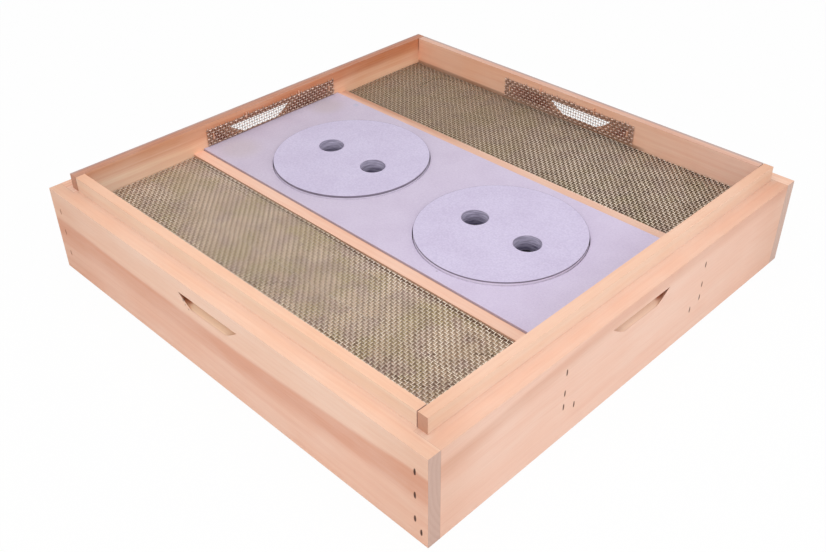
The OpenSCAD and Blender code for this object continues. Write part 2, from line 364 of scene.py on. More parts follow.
@dataclass(frozen=True)
class PineBoard(Finish):
    """Pine with year rings, streaks and fibres; its colour differs on the faces that a board shows.

    Lengths are in mm. Depth is measured into the board from the plane of its outer face. band_line gives
    the height of the heart band in the outer face at places along the board, and band_run how far below
    that line the band pales. heart is where the inner face turns to heart wood, and heart_lean is the
    slope of that line. The slot is the vent's saw cut, and the screen hangs over its inner mouth.
    Tones, shades and shares run from 0 to 1.
    """

    run: Run
    face: Colour
    band: Colour
    band_foot: Colour
    planed: Colour
    lip: Colour
    lip_top: Colour
    inside: Colour
    end: Colour
    inside_top: Colour | None = None
    inside_end: Colour | None = None
    # Painted light: the saw cut's floor is paler than the wood, set against the shade in the cut.
    slot_floor: Colour = tint(255, 220, 188)
    pith: Pair = (0.0, 0.0)
    outer: float = -247.5
    thick: float = 25.5
    ledge: float = 88.7
    top: float = 104.0
    end_at: float = 247.5
    lip_end_at: float = 231.4
    lip_thick: float = 9.4
    band_line: tuple[Pair, ...] = ((-240.0, 48.0), (240.0, 48.0))
    band_run: Pair = (12.0, 32.0)
    slot_foot: Pair = (58.0, 60.0)
    slot_half: Pair = (96.0, 98.0)
    screen_half: Pair = (83.0, 87.0)
    screen_foot: Pair = (75.0, 78.0)
    screen_head: Pair = (94.5, 97.5)
    # Whether the board takes the painted glow at its lip's foot.
    lipped: bool = False
    far_tone: float = 0.0
    end_shade: float = 0.0
    top_shade: float = 0.0
    arris: float = 0.0
    # Share of the painted shade line where the divider meets the panel.
    seam: float = 0.0
    # Share of the painted shade at the foot of the inner face.
    foot_share: float = 0.0
    screen_shade: float = 0.0
    heart: Pair = (84.0, 96.0)
    heart_lean: float = 0.0
    ring_pitch: float = 4.2
    ring_share: float = 0.14
    streak_share: float = 0.16
    seed: float = 0.0
    marks: tuple[Mark, ...] = ()

    def fill(self, paint: Paint, spot: Term) -> None:
        """Lay the board's broad colours, then its grain, its end faces and its marks.

        Args:
            paint: the tree.
            spot: the point on the piece.
        """
        at = self._point(paint, spot)
        out = abs(at.along)
        colour = self._faces(paint, at)
        rings = at.late * (at.broad * 0.6 + 0.4) * self.ring_share
        colour = paint.mix(rings, colour, PINE.late_wood, "MULTIPLY")
        colour = paint.mix(at.broad * self.streak_share, colour, PINE.broad_streak, "MULTIPLY")
        colour = paint.mix(at.narrow * self.streak_share, colour, PINE.narrow_streak, "MULTIPLY")
        colour = paint.mix(at.mottle * 0.10, colour, PINE.mottle, "SCREEN")
        if self.far_tone:
            colour = paint.mix(at.along.rise_mm(0, 240) * self.far_tone, colour, PINE.far_half, "MULTIPLY")
        if self.end_shade:
            colour = paint.mix(out.rise_mm(170, 236) * self.end_shade, colour, PINE.near_end, "MULTIPLY")
        wall_end = out.rise_mm(self.end_at - 0.25, self.end_at - 0.08)
        lip_end = out.rise_mm(self.lip_end_at - 0.25, self.lip_end_at - 0.08)
        end_face = paint.larger(wall_end, lip_end * at.z.rise_mm(self.ledge + 0.1, self.ledge + 0.3))
        colour = paint.mix(end_face, colour, paint.mix(at.late * 0.16, self.end, PINE.end_ring))
        colour = paint.mix((at.fibre - 0.5) * 0.5, colour, PINE.fibre, "MULTIPLY")
        colour = paint.marked(spot, colour, self.marks)
        height = at.fibre * 0.6 + at.late * 0.3 + at.narrow * 0.3
        paint.surface(Base_Color=colour, Roughness=0.62 + at.narrow * 0.14,
                      Normal=paint.bump(height, 0.25, 0.0002), Specular_IOR_Level=0.3)

    def _point(self, paint: Paint, spot: Term) -> BoardPoint:
        """Measure where a point lies on the board, and grow the grain there.

        Args:
            paint: the tree.
            spot: the point on the piece.

        Returns:
            The place and the grain.
        """
        x, y, z = paint.axes(spot)
        along, across = (x, y) if self.run is Run.ALONG_X else (y, x)
        depth = (across - self.outer * MM) * math.copysign(1.0, -self.outer)

        def figure(length: float, width: float, stray: float, detail: float) -> Term:
            """Noise in spots of a length and a width in mm, drawn out along the board."""
            fine, drawn = 1 / (width * MM), 1 / (length * MM)
            scale = (drawn, fine, fine) if self.run is Run.ALONG_X else (fine, drawn, fine)
            shift = (self.seed + stray, self.seed * 1.7 + stray, self.seed * 0.6)
            return paint.cloud(paint.stretched(spot, scale, shift), detail=detail)

        drift = figure(340, 110, 3.1, 1.0) - 0.5
        sway = figure(100, 20, 5.7, 2.0) - 0.5
        flat_part = across - self.pith[0] * MM + drift * 0.012
        tall_part = z - self.pith[1] * MM + drift * 0.014 + sway * 0.002
        radius = paint.far_from(flat_part, tall_part)
        ring = paint.maths("FRACT", radius / (self.ring_pitch * MM) + sway * 0.7)
        return BoardPoint(
            along, depth, z, wander=drift * 0.006 + sway * 0.0022,
            late=ring.rise(0.20, 0.80) * ring.fall(0.84, 1.0),
            broad=figure(500, 16, 11.3, 3.0).rise(0.36, 0.70),
            narrow=figure(160, 2.2, 17.9, 3.0).rise(0.36, 0.70),
            fibre=figure(22, 0.6, 23.1, 2.0),
            mottle=figure(60, 22, 29.7, 3.0).rise(0.38, 0.70))

    def _band(self, paint: Paint, along: Term) -> Term:
        """The height of the heart band's upper line, which a ramp gives along the board.

        Args:
            paint: the tree.
            along: place along the board.

        Returns:
            The height in metres.
        """
        stops = [(place / (2 * self.end_at) + 0.5, (*[high / RAMP_WHITE] * 3, 1.0))
                 for place, high in self.band_line]
        share = along / (2 * self.end_at * MM) + 0.5
        return paint.node("ShaderNodeValToRGB", {"stops": stops}, {"Fac": share}) * (RAMP_WHITE * MM)

    def _faces(self, paint: Paint, at: BoardPoint) -> Term:
        """The board's broad colours: heart band, planed rabbet, saw cut, lip and inner face.

        Args:
            paint: the tree.
            at: the point on the board.

        Returns:
            The colour before the grain goes on.
        """
        depth, z = at.depth, at.z
        root = self.thick - self.lip_thick
        below = self._band(paint, at.along) + at.wander - z
        band = paint.mix(below.rise_mm(*self.band_run), self.band, self.band_foot)
        colour = paint.mix(below.rise_mm(-2.8, 3.4) * (at.broad * 0.2 + 0.8), self.face, band)
        under_ledge = z.fall_mm(self.ledge - 0.4, self.ledge - 0.1)
        sunk = depth.rise_mm(0.4, 0.8)
        colour = paint.mix(1 - under_ledge * (1 - sunk), colour, self.planed)
        slot = sunk * under_ledge * z.rise_mm(*self.slot_foot) * abs(at.along).fall_mm(*self.slot_half)
        # The saw cut takes painted light at its mouth and painted shade in its throat.
        colour = paint.mix(slot, colour, self._saw_cut(paint, at))
        colour = paint.mix(z.rise_mm(self.ledge + 0.5, self.ledge + 1.5), colour, self.lip)
        # Painted glow in the angle where the ledge meets the lip's outer face.
        if self.lipped:
            low = z.fall_mm(self.ledge + 0.5, self.ledge + 8)
            angle = depth.rise_mm(root - 8, root) * (1 - under_ledge) * low
            colour = paint.mix(angle * 0.5, colour, PINE.lip_root)
        # Painted shadow of the cloth along the outer edge of the top, towards the back, with some wear.
        if self.top_shade:
            verge = depth.fall_mm(1.5, 11.0) * at.along.rise_mm(-40, 140) * (1 - under_ledge)
            colour = paint.mix(verge * self.top_shade, colour, PINE.verge)
        colour = paint.mix(z.rise_mm(self.top - 0.35, self.top - 0.1), colour, self.lip_top)
        if self.arris:
            rim = z.rise_mm(self.top - 0.4, self.top - 0.1) * depth.fall_mm(root + 1.5, root + 4.5)
            colour = paint.mix(rim * self.arris, colour, PINE.rim)
        inner = depth.rise_mm(self.thick - 0.25, self.thick - 0.08)
        inner = inner * z.fall_mm(self.top - 0.35, self.top - 0.1)
        colour = paint.mix(inner, colour, self._inner_face(paint, at))
        # A painted shade line along the inner edge of the top, where the divider meets the panel.
        if self.seam:
            joint = depth.rise_mm(self.thick - 1.2, self.thick - 0.5)
            joint = joint * z.rise_mm(self.ledge, self.ledge + 0.1)
            colour = paint.mix(joint * self.seam, colour, PINE.seam)
        return colour

    def _saw_cut(self, paint: Paint, at: BoardPoint) -> Term:
        """The vent's saw cut, painted: a pale mouth against its shade, and a shaded throat that reaches
        further out at one end.

        Args:
            paint: the tree.
            at: the point on the board.

        Returns:
            The colour in the cut.
        """
        # Painted shade deep in the cut, and painted light at its mouth.
        deep = paint.larger(at.depth.rise_mm(7, 14), at.depth.rise_mm(1.8, 4.8) * at.along.rise_mm(25, 31))
        mouth = paint.mix(at.depth.rise_mm(3, 10), self.slot_floor, PINE.slot_mouth)
        throat = paint.mix(at.depth.rise_mm(8, 14), PINE.throat, PINE.deep_throat)
        return paint.mix(deep, mouth, throat)

    def _inner_face(self, paint: Paint, at: BoardPoint) -> "Term | Colour":
        """The inner face: its pale end, its heart wood, and the painted shade behind the screen and at the
        foot.

        Args:
            paint: the tree.
            at: the point on the board.

        Returns:
            The colour of the inner face.
        """
        z, face = at.z, self.inside
        if self.inside_end:
            face = paint.mix(at.along.rise_mm(-210, -50), self.inside_end, face)
        if self.inside_top:
            lifted = z + at.wander * 1.5 + at.along * self.heart_lean
            heart = lifted.rise_mm(*self.heart) * (at.broad * 0.35 + 0.65)
            face = paint.mix(heart, face, self.inside_top)
        # Painted shadow of the vent screen on the inner face behind its wires.
        if self.screen_shade:
            behind = z.rise_mm(*self.screen_foot) * z.fall_mm(*self.screen_head)
            behind = behind * abs(at.along).fall_mm(*self.screen_half)
            face = paint.mix(behind * self.screen_shade, face, PINE.behind_screen)
        # Painted shade at the foot of the inner face, where it meets the cloth, from near the middle to the
        # back.
        if self.foot_share:
            foot = z.fall_mm(75.5, 78.0) * at.along.rise_mm(-105, -90)
            face = paint.mix(foot * self.foot_share, face, PINE.foot)
        return face


@dataclass(frozen=True)
class FibreTones:
    """The tones that all fibreboard shares."""

    cloudy: Colour = tint(226, 218, 226)
    pulp: Colour = tint(206, 200, 212)
    shreds: Colour = tint(255, 252, 255)
    hollow: Colour = tint(190, 182, 200)
    # Painted shade line along the panel's edge, where it meets a divider.
    seam: Colour = tint(150, 124, 126)
    # Painted light on the lower rim of a plug, against the shade of the gap around it.
    rim_foot: Colour = tint(244, 235, 252)


FIBRE = FibreTones()


@dataclass(frozen=True)
class FibreSheet(Finish):
    """Grey fibreboard: a pressed pebble face, and cut edges that show its layers. Lengths are in mm.

    A bore or a rim is given by the place of its axis and its radius.
    """

    face: Colour
    far_face: Colour
    edge: Colour
    deep_edge: Colour
    bore: Colour
    deep_bore: Colour
    bores: tuple[Triple, Triple]
    low: float
    high: float
    pebble: float
    pebble_share: float
    rim: Triple | None = None
    # Depth in mm of the painted shade line at the top of a plug's rim.
    rim_line: float = 0.0
    # Half width of the panel, where its painted shade line runs; 0 for none.
    seam_at: float = 0.0
    marks: tuple[Mark, ...] = ()

    def fill(self, paint: Paint, spot: Term) -> None:
        """Press the face and cut the edges.

        Args:
            paint: the tree.
            spot: the point on the piece.
        """
        x, y, z = paint.axes(spot)

        def away(cut: Triple) -> Term:
            """How far the point is from the axis of a round cut."""
            return paint.far_from(x - cut[0] * MM, y - cut[1] * MM)

        holes = paint.larger(*(away(bore).fall_mm(bore[2] + 0.10, bore[2] + 0.32) for bore in self.bores))
        layers = paint.cloud(paint.stretched(spot, (90.0, 90.0, 900.0)), detail=3.0).rise(0.34, 0.68)
        depth = z.fall_mm(self.low, self.high)
        # The bores are painted pale against the shade inside them; bores and cut edges take painted shade
        # towards the bottom.
        bored = paint.mix(layers * 0.6 + depth * depth * 0.6, self.bore, self.deep_bore)
        edge = paint.mix(holes, paint.mix(layers * 0.5 + depth * 0.5, self.edge, self.deep_edge), bored)
        cut, pale = holes, 0.0
        # A plug's rim: a painted shade line at its top, and painted light below it over the gap's shade.
        if self.rim:
            rim = away(self.rim).rise_mm(self.rim[2] - 0.32, self.rim[2] - 0.10)
            rim_shade_band = z.rise_mm(self.high - self.rim_line - 0.3, self.high - self.rim_line + 0.3)
            cut, pale = paint.larger(holes, rim * rim_shade_band), rim * (1 - rim_shade_band)

        pulp = paint.cloud(spot, 900.0, 4.0, 0.6)
        cloudy = paint.cloud(spot, 26.0, 3.0, 0.55).rise(0.34, 0.70)
        shreds = paint.cloud(paint.stretched(spot, (900.0, 240.0, 900.0)), detail=3.0).rise(0.52, 0.74)
        pebbles = paint.node("ShaderNodeTexVoronoi", {"feature": "SMOOTH_F1", "distance": "EUCLIDEAN"},
                             {"Vector": spot, "Scale": 1 / (self.pebble * MM), "Smoothness": 0.4,
                              "Randomness": 0.72}, output="Distance")
        face = paint.mix(y.rise_mm(-200, 220), self.face, self.far_face)
        face = paint.mix(cloudy * 0.20, face, FIBRE.cloudy, "MULTIPLY")
        face = paint.mix(pulp.rise(0.42, 0.72) * 0.18, face, FIBRE.pulp, "MULTIPLY")
        face = paint.mix(shreds * 0.10, face, FIBRE.shreds, "SCREEN")
        face = paint.marked(spot, face, self.marks)
        face = paint.mix(pebbles.rise(0.30, 0.75) * self.pebble_share * 0.22, face, FIBRE.hollow, "MULTIPLY")
        # A painted shade line along the panel's left edge, where it meets the left divider.
        if self.seam_at:
            joint = x.fall_mm(0.05 - self.seam_at, 0.4 - self.seam_at)
            face = paint.mix(joint * 0.4, face, FIBRE.seam)
        colour = paint.mix(cut, paint.mix(pale, face, FIBRE.rim_foot), edge)
        height = (1 - pebbles) * self.pebble_share + pulp * 0.5 + layers * cut * 0.6
        paint.surface(Base_Color=colour, Roughness=0.78 + pulp * 0.12,
                      Normal=paint.bump(height, 0.5, 0.0004), Specular_IOR_Level=0.25)


def litter_patches(paint: Paint, spot: Term) -> tuple[Term, Term]:
    """Where the loose fill, and the dust that it leaves on the cloth, is olive and where it is mauve.

    Args:
        paint: the tree.
        spot: the point on the piece.

    Returns:
        The olive share and the mauve share.
    """
    other = paint.stretched(spot, (1.0, 1.0, 1.0), (3.3, 1.7, 0.4))
    olive = paint.cloud(spot, 34.0, 3.0, 0.6).rise(0.44, 0.62)
    return olive, paint.cloud(other, 48.0, 3.0, 0.6).rise(0.46, 0.64)


@dataclass(frozen=True)
class WireMetal(Finish):
    """Zinc on woven wire: bright where a wire passes over, and painted shade where it passes under."""

    bright: Colour
    dull: Colour
    hollow: Colour
    dust: float = 0.0
    silt: float = 0.0
    silted: Colour = tint(178, 158, 138)
    olive_dust: Colour = tint(200, 188, 146)
    mauve_dust: Colour = tint(204, 180, 176)
    metal: float = 0.75
    rough: float = 0.42

    def fill(self, paint: Paint, spot: Term) -> None:
        """Dull the zinc in patches, dust it, and paint shade on it where a wire passes under.

        Args:
            paint: the tree.
            spot: the point on the piece.
        """
        patch = paint.cloud(spot, 45.0, 3.0, 0.6).rise(0.36, 0.68)
        speck = paint.cloud(spot, 700.0, 2.0, 0.5)
        colour = paint.mix(patch * 0.6 + (speck - 0.5) * 0.6, self.bright, self.dull)
        if self.dust:
            olive, mauve = litter_patches(paint, spot)
            colour = paint.mix(olive * self.dust, colour, self.olive_dust)
            colour = paint.mix(mauve * self.dust, colour, self.mauve_dust)
        # Painted shade where a wire passes under another; the light is left where it passes over.
        colour = paint.mix(paint.carried("crest").fall(-0.6, 0.75), colour, self.hollow)
        if self.silt:
            _, y, _ = paint.axes(spot)
            colour = paint.mix(y.rise_mm(-100, 100) * self.silt, colour, self.silted)
        paint.surface(Base_Color=colour, Metallic=self.metal, Roughness=self.rough + speck * 0.2)


@dataclass(frozen=True)
class StapleSteel(Finish):
    """Dulled steel of the staples' crowns; those in the far left corner may have a tone of their own."""

    steel: Colour
    rust: Colour
    metal: float = 0.7
    far_left: Colour | None = None

    def fill(self, paint: Paint, spot: Term) -> None:
        """Let rust bloom on the steel.

        Args:
            paint: the tree.
            spot: the point on the piece.
        """
        bloom = paint.cloud(spot, 420.0, 3.0, 0.6).rise(0.40, 0.66)
        colour = paint.mix(bloom, self.steel, self.rust)
        if self.far_left:
            x, y, _ = paint.axes(spot)
            colour = paint.mix(x.fall_mm(-210, -200) * y.rise_mm(100, 200), colour, self.far_left)
        paint.surface(Base_Color=colour, Metallic=self.metal - bloom * (0.4 * self.metal),
                      Roughness=0.42 + bloom * 0.3)


@dataclass(frozen=True)
class StrawTone(Finish):
    """Straw and leaf litter; each stalk carries its own tone, and patches drift over the bay."""

    pale: Colour
    olive: Colour
    mauve: Colour
    dark: Colour
    carries_tone: bool = False
    bleached: Colour = tint(226, 208, 176)

    def fill(self, paint: Paint, spot: Term) -> None:
        """Drift the patches over the straw, then tell the stalks apart and fleck them.

        Args:
            paint: the tree.
            spot: the point on the piece.
        """
        olive, mauve = litter_patches(paint, spot)
        fleck = paint.cloud(spot, 420.0, 3.0, 0.6)
        colour = paint.mix(olive * 0.8, self.pale, self.olive)
        colour = paint.mix(mauve * 0.8, colour, self.mauve)
        if self.carries_tone:
            tone = paint.carried("tone")
            colour = paint.mix(tone.rise(0.70, 1.0) * 0.45, colour, self.dark)
            colour = paint.mix(tone.fall(0.0, 0.35) * 0.35, colour, self.bleached)
        colour = paint.mix(fleck.rise(0.52, 0.72) * 0.55, colour, self.dark)
        paint.surface(Base_Color=colour, Roughness=0.72 + fleck * 0.2,
                      Normal=paint.bump(fleck, 0.6, 0.0008), Specular_IOR_Level=0.25)


def dress(node: str, finish: Finish | bpy.types.Material) -> str:
    """Put a finish on every slot of a CAD node.

    Args:
        node: the node's name.
        finish: its finish, or a material that is made already.

    Returns:
        The node's name.
    """
    material = finish.material() if isinstance(finish, Finish) else finish
    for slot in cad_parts[node].material_slots:
        slot.material = material
    return node


def shown(name: str, bm: bmesh.types.BMesh, material: bpy.types.Material) -> bpy.types.Object:
    """Turn a bmesh into an object of the scene.

    Args:
        name: the object's name.
        bm: its shape, which is used up.
        material: its material.

    Returns:
        The object.
    """
    mesh = bpy.data.meshes.new(name)
    bm.to_mesh(mesh)
    bm.free()
    mesh.materials.append(material)
    made = bpy.data.objects.new(name, mesh)
    bpy.context.scene.collection.objects.link(made)
    return made


def placed(name: str, bm: bmesh.types.BMesh, finish: Finish,
           smooth: bool = True) -> bpy.types.Object:
    """Turn a bmesh into a piece of the box.

    Args:
        name: the piece's name.
        bm: its shape, which is used up.
        finish: its finish.
        smooth: whether its faces are shaded round.

    Returns:
        The piece, which rides on the box.
    """
    piece = shown(name, bm, finish.material())
    if smooth:
        piece.data.shade_smooth()
    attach(piece, "box")
    return piece


def whole(bm: bmesh.types.BMesh) -> list:
    """All points, edges and faces of a shape."""
    return bm.verts[:] + bm.edges[:] + bm.faces[:]


def drawn_on(bm: bmesh.types.BMesh, end: list, step: Vector) -> list:
    """Draw the end of a rod on by one step.

    Args:
        bm: the rod, or the one face that it starts from.
        end: its end face.
        step: the way to the new end.

    Returns:
        The new end face.
    """
    starts = len(bm.faces) == 1
    made = bmesh.ops.extrude_face_region(bm, geom=end)["geom"]
    if not starts:
        bmesh.ops.delete(bm, geom=[face for face in end if face.is_valid], context="FACES_ONLY")
    fresh = [part for part in made if isinstance(part, bmesh.types.BMFace)]
    bmesh.ops.translate(bm, verts=fresh[0].verts[:], vec=step)
    return fresh


def held(share: float) -> float:
    """A share, held between 0 and 1."""
    return max(0.0, min(1.0, share))


def eased(share: float) -> float:
    """A share between 0 and 1, with a soft start and end."""
    return share * share * (3 - 2 * share)


@dataclass
class WovenCloth:
    """Plain-woven wire cloth, made flat about its middle. Lengths are in mm.

    A cell of two by two wires is drawn by extruding rings, and the cell is repeated over the cloth.
    """

    width: float
    length: float
    across: int
    along: int
    wire: float = 0.72
    lift_share: float = 0.55
    radius_share: float = 0.54
    sides: int = 4
    steps: int = 2
    cross_gleam: float = 1.0
    long_gleam: float = 0.55
    cross_lean: float = 0.0
    long_lean: float = 0.0

    @property
    def pitch(self) -> Vector:
        """The way from wire to wire, across and along."""
        return Vector((self.width / self.across, self.length / self.along, 0.0))

    def _wire(self, bm: bmesh.types.BMesh, lengthwise: bool, offset: float, sign: float) -> None:
        """Draw one wire of the cell.

        Args:
            bm: the cloth.
            lengthwise: whether it runs along the length.
            offset: where it lies across its run, in pitches.
            sign: 1 where it starts over its first crossing, -1 where it starts under.
        """
        turn = Matrix.Rotation(math.pi / 2, 4, "X" if lengthwise else "Y")
        spin = Matrix.Rotation(math.pi / self.sides, 4, "Z")
        pitch, lift = self.pitch, self.wire * self.lift_share * sign
        crest = bm.verts.layers.float["crest"]
        gleam = self.long_gleam if lengthwise else self.cross_gleam
        lean = self.long_lean if lengthwise else self.cross_lean

        def polish(ring: list, step: int) -> None:
            """Note the painted light of a ring: most where the wire passes over, or a little to one side."""
            for vert in ring:
                vert[crest] = sign * gleam * math.cos(math.pi * (step / self.steps - 0.5 - lean))

        def point(step: int) -> Vector:
            """The wire's middle at a step of its run."""
            run = step / self.steps
            height = lift * math.cos(math.pi * (run - 0.5))
            flat = (offset * pitch.x, run * pitch.y) if lengthwise else (run * pitch.x, offset * pitch.y)
            return Vector((*flat, height))

        ring = bmesh.ops.create_circle(
            bm, cap_ends=False, segments=self.sides, radius=self.wire * self.radius_share,
            matrix=Matrix.Translation(point(0)) @ turn @ spin)["verts"]
        polish(ring, 0)
        edges = list(dict.fromkeys(edge for vert in ring for edge in vert.link_edges))
        for step in range(1, 2 * self.steps + 1):
            made = bmesh.ops.extrude_edge_only(bm, edges=edges)["geom"]
            ring = [part for part in made if isinstance(part, bmesh.types.BMVert)]
            fresh = set(ring)
            edges = [part for part in made
                     if isinstance(part, bmesh.types.BMEdge) and fresh.issuperset(part.verts)]
            bmesh.ops.translate(bm, verts=ring, vec=point(step) - point(step - 1))
            polish(ring, step)

    @staticmethod
    def _repeat(bm: bmesh.types.BMesh, count: int, stride: Vector) -> None:
        """Repeat all that is drawn so far, by doubling.

        Args:
            bm: the cloth.
            count: how many there are in the end.
            stride: the way from each to the next.
        """
        first = whole(bm)
        drawn, have = list(first), 1

        def copy(geom: list, step: Vector) -> list:
            """A copy, moved by a step."""
            made = bmesh.ops.duplicate(bm, geom=geom)["geom"]
            verts = [part for part in made if isinstance(part, bmesh.types.BMVert)]
            bmesh.ops.translate(bm, vec=step, verts=verts)
            return made

        for digit in bin(count)[3:]:
            drawn = drawn + copy(drawn, stride * have)
            have *= 2
            if digit == "1":
                drawn = drawn + copy(first, stride * have)
                have += 1

    def drawn(self) -> bmesh.types.BMesh:
        """Weave the flat cloth.

        Returns:
            The cloth in mm, with its middle at the origin.
        """
        bm = bmesh.new()
        bm.verts.layers.float.new("crest")
        for lengthwise in (False, True):
            for offset, sign in ((0.5, 1.0), (1.5, -1.0)):
                self._wire(bm, lengthwise, offset, -sign if lengthwise else sign)
        self._repeat(bm, math.ceil(self.across / 2), Vector((2 * self.pitch.x, 0, 0)))
        self._repeat(bm, math.ceil(self.along / 2), Vector((0, 2 * self.pitch.y, 0)))
        bmesh.ops.remove_doubles(bm, verts=bm.verts[:], dist=0.002)
        far_sides = ((self.across, Vector((self.width, 0, 0))), (self.along, Vector((0, self.length, 0))))
        for count, far in far_sides:
            if count % 2:
                bmesh.ops.bisect_plane(bm, geom=whole(bm), plane_co=far, plane_no=far.normalized(),
                                       clear_outer=True, dist=0.001)
        bmesh.ops.holes_fill(bm, edges=[edge for edge in bm.edges if edge.is_boundary], sides=0)
        bmesh.ops.translate(bm, verts=bm.verts[:], vec=(-self.width / 2, -self.length / 2, 0))
        return bm

    def shaped(self, place: Callable[[Vector], Vector]) -> bmesh.types.BMesh:
        """Weave the cloth and put every point of it in its place.

        Args:
            place: gives a point's place in mm from its place on the flat cloth.

        Returns:
            The cloth, in metres.
        """
        bm = self.drawn()
        for vert in bm.verts:
            vert.co = place(vert.co) * MM
        bmesh.ops.recalc_face_normals(bm, faces=bm.faces[:])
        return bm


class Side(Enum):
    """The two screened bays, by the sign of X."""

    LEFT = -1
    RIGHT = 1

    @property
    def label(self) -> str:
        """The side's name, as the nodes have it."""
        return self.name.lower()


@dataclass
class ScreenedBay:
    """One side bay: wire cloth above and below, and straw between them. Lengths are in mm."""

    side: Side
    metal: WireMetal
    floor_metal: WireMetal
    bed_tone: StrawTone
    stalk_tone: StrawTone
    stem_tone: StrawTone | None = None
    near: float = 103.9
    far: float = 221.6
    reach: float = 221.4
    cloth_z: float = 74.45
    cloth_wires: tuple[int, int] = (42, 136)
    wave: float = 0.7
    ripple: float = 0.25
    divider_rise: float = 2.0
    divider_run: float = 24.0
    dip: float = 1.2
    dip_from: Pair = (211.0, 40.0)
    dip_run: Pair = (9.0, 40.0)
    flat_from: float = 221.0
    flat_run: float = 16.0
    flat_share: float = 0.25
    corner: float = 0.8
    turned_down: float = 9.6
    inset: float = 0.55
    facing: float = 0.17
    floor_near: float = 92.2
    floor_far: float = 231.0
    floor_reach: float = 231.0
    floor_z: float = 17.05
    floor_wires: tuple[int, int] = (42, 142)
    floor_wire: float = 0.44
    sag: float = 0.25
    sag_wave: float = 0.35
    bay_near: float = 104.0
    bay_far: float = 222.0
    bed_low: float = 19.0
    bed_high: float = 71.8
    bed_cuts: tuple[int, int, int] = (22, 84, 8)
    heap: float = 1.3
    heap_from: float = -60.0
    heap_run: float = 100.0
    stalks: int = 900
    floor_stalks: int = 420
    stalk_length: Pair = (10.0, 36.0)
    stalk_width: Pair = (1.0, 3.2)
    stalk_thick: Pair = (0.3, 0.7)
    stalk_clear: float = 3.6
    stalk_bends: tuple[float, ...] = (-0.05, -0.02, 0.0, 0.03, 0.06)
    stem_lift: float = 1.3
    stem_route: tuple[Pair, ...] = ((172.0, 171.0), (181.0, 174.6), (191.0, 175.6), (199.0, 175.4),
                                    (205.0, 173.0), (208.6, 167.5), (210.6, 160.0), (212.0, 151.0))
    seed: int = 4

    def rest(self, across: float, along: float) -> float:
        """How far the top cloth lies above its plane: the left rises at the divider, the right crowns.

        Args:
            across: distance from the middle plane.
            along: place along the bay.

        Returns:
            The height in mm.
        """
        way = self.side.value
        wave = noise.noise(Vector((across * 0.021, along * 0.014, 7.0 + way)))
        ripple = noise.noise(Vector((across * 0.06, along * 0.05, 1.0 + way)))
        height = self.wave * wave + self.ripple * ripple
        if self.side is Side.LEFT:
            height += self.divider_rise * eased(max(0.0, 1 - (across - self.near) / self.divider_run))
        else:
            middle = (self.near + self.far) / 2
            crown = 1 - ((across - middle) / (middle - self.near)) ** 2
            outward = held((across - self.dip_from[0]) / self.dip_run[0])
            backward = held((along - self.dip_from[1]) / self.dip_run[1])
            height += crown - self.dip * eased(outward * backward)
        return height * max(self.flat_share, min(1.0, (self.flat_from - abs(along)) / self.flat_run))

    def _heap(self, along: float) -> float:
        """How much higher the right bay's fill is heaped towards the back, in mm."""
        share = held((along - self.heap_from) / self.heap_run) if self.side is Side.RIGHT else 0.0
        return self.heap * eased(share)

    def top_cloth(self) -> bpy.types.Object:
        """Weave the cloth over the bay, with its long edges turned down.

        Returns:
            The cloth.
        """
        flat = self.far - self.near
        # The leans tip the painted light on each knuckle to one side.
        cloth = WovenCloth(flat + 2 * self.turned_down, 2 * self.reach, *self.cloth_wires, long_gleam=0.85,
                           cross_lean=-self.facing * self.side.value, long_lean=-self.facing)
        middle, half = (self.near + self.far) / 2, flat / 2
        arc = self.corner * math.pi / 2

        def place(point: Vector) -> Vector:
            """Bend a point of the flat cloth over its turned-down edge."""
            over = abs(point.x) - (half - self.corner)
            way = math.copysign(1.0, point.x)
            if over <= 0:
                out, down, lean = abs(point.x), 0.0, 0.0
            elif over < arc:
                lean = over / self.corner
                out = half - self.corner + math.sin(lean) * self.corner
                down = self.corner - math.cos(lean) * self.corner
            else:
                lean, out, down = math.pi / 2, half, self.corner + over - arc
            across = middle + way * (out - self.inset + point.z * math.sin(lean))
            rise = self.rest(min(max(across, self.near), self.far), point.y)
            height = self.cloth_z + rise - down + point.z * math.cos(lean)
            return Vector((self.side.value * across, point.y, height))

        piece = placed(f"{self.side.label}_top_cloth", cloth.shaped(place), self.metal)
        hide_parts(f"{self.side.label}_top_screen")
        return piece

    def floor_cloth(self) -> bpy.types.Object:
        """Weave the cloth under the bay, which sags a little between its edges.

        Returns:
            The cloth.
        """
        cloth = WovenCloth(self.floor_far - self.floor_near, 2 * self.floor_reach, *self.floor_wires,
                           wire=self.floor_wire, steps=1)
        middle = (self.floor_near + self.floor_far) / 2

        def place(point: Vector) -> Vector:
            """Lay a point of the flat cloth under the bay."""
            across = middle + point.x
            inside = held((self.bay_far - max(abs(point.y), across)) / 30.0)
            inside *= held((across - self.bay_near) / 20.0)
            wave = noise.noise(Vector((across * 0.03, point.y * 0.02, 3.0)))
            height = self.floor_z + point.z * 0.95 - inside * (self.sag + self.sag_wave * wave)
            return Vector((self.side.value * across, point.y, height))

        piece = placed(f"{self.side.label}_floor_cloth", cloth.shaped(place), self.floor_metal)
        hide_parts(f"{self.side.label}_floor_screen")
        return piece

